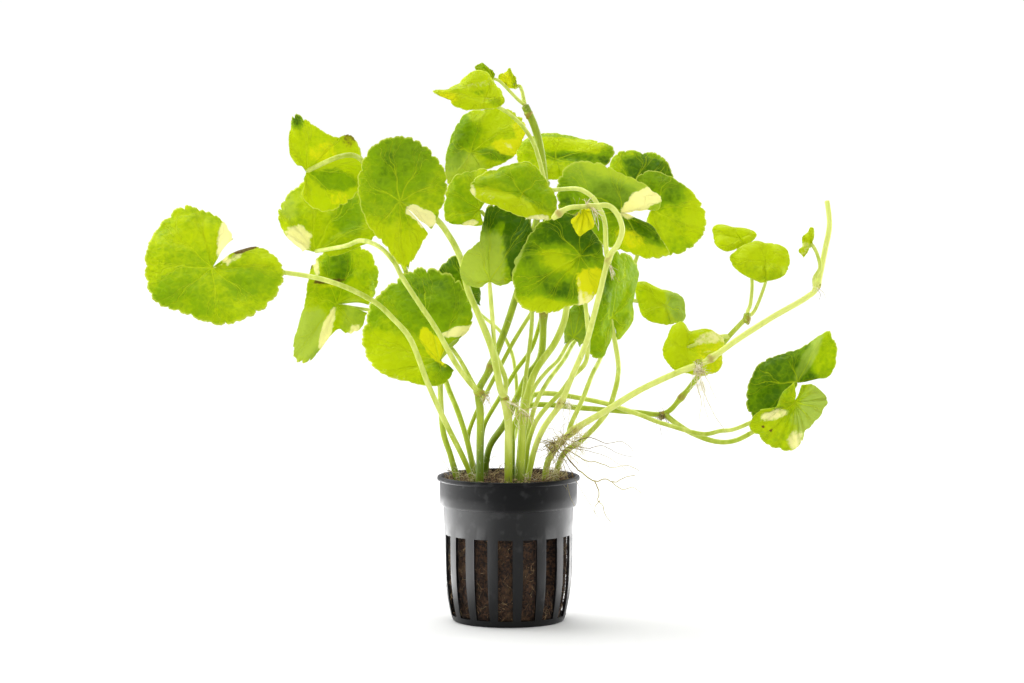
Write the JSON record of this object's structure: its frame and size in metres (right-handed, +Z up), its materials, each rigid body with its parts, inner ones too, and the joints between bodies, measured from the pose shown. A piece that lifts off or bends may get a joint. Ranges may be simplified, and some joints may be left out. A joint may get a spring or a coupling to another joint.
{
  "type": "potted brazilian pennywort",
  "caption": "Bushy water plant with round cleft leaves on long arching stalks, rooted in a fibre plug in a black net pot that stands on its flat base.",
  "frame": {"origin": "centre of the pot's flat base", "axes": "+Z up along the pot's axis; -Y towards the viewer of the picture; +X to the right, along the plant's longest reach"},
  "size_m": [0.2536, 0.094, 0.2067],
  "materials": {
    "pot_plastic": "smooth satin dark grey to black moulded plastic",
    "fibre_medium": "rough damp brown fibre",
    "leaf_blade": "soft sheen, thin and slightly see-through, with pale veins and cream and yellow patches",
    "stem_flesh": "smooth pale lime green, darker at the old stems",
    "fine_root": "matt whitish to tan threads"
  },
  "bodies": {
    "root": {"fibre_plug": "fibre_medium", "leaf_back_high": "leaf_blade", "leaf_far_left": "leaf_blade", "leaf_far_right_bud": "leaf_blade", "leaf_front": "leaf_blade", "leaf_front_high": "leaf_blade", "leaf_left_back": "leaf_blade", "leaf_left_front": "leaf_blade", "leaf_left_hidden": "leaf_blade", "leaf_left_high": "leaf_blade", "leaf_left_low": "leaf_blade", "leaf_left_wide": "leaf_blade", "leaf_low_right_back": "leaf_blade", "leaf_low_right_front": "leaf_blade", "leaf_middle_folded": "leaf_blade", "leaf_middle_left": "leaf_blade", "leaf_pair_left": "leaf_blade", "leaf_pair_right": "leaf_blade", "leaf_right_back": "leaf_blade", "leaf_right_folded": "leaf_blade", "leaf_right_hanging": "leaf_blade", "leaf_right_middle": "leaf_blade", "leaf_right_pale": "leaf_blade", "leaf_right_round": "leaf_blade", "leaf_right_small": "leaf_blade", "leaf_top": "leaf_blade", "leaf_top_bud": "leaf_blade", "leaf_top_curled": "leaf_blade", "leaf_upper_middle": "leaf_blade", "leaf_yellow": "leaf_blade", "pot": "pot_plastic", "roots_low_right": "fine_root", "roots_runner_base": "fine_root", "roots_runner_middle": "fine_root", "roots_stem_middle": "fine_root", "stalk_far_left": "stem_flesh", "stalk_front": "stem_flesh", "stalk_front_high": "stem_flesh", "stalk_left_back": "stem_flesh", "stalk_left_front": "stem_flesh", "stalk_left_high": "stem_flesh", "stalk_left_low": "stem_flesh", "stalk_left_wide": "stem_flesh", "stalk_low_right_back": "stem_flesh", "stalk_low_right_front": "stem_flesh", "stalk_middle_folded": "stem_flesh", "stalk_middle_left": "stem_flesh", "stalk_right_back": "stem_flesh", "stalk_right_folded": "stem_flesh", "stalk_right_hanging": "stem_flesh", "stalk_right_middle": "stem_flesh", "stalk_right_round": "stem_flesh", "stalk_upper_middle": "stem_flesh", "stem_far_right": "stem_flesh", "stem_left": "stem_flesh", "stem_low_right": "stem_flesh", "stem_middle": "stem_flesh", "stem_right": "stem_flesh", "stem_top": "stem_flesh"}
  },
  "joints": []
}
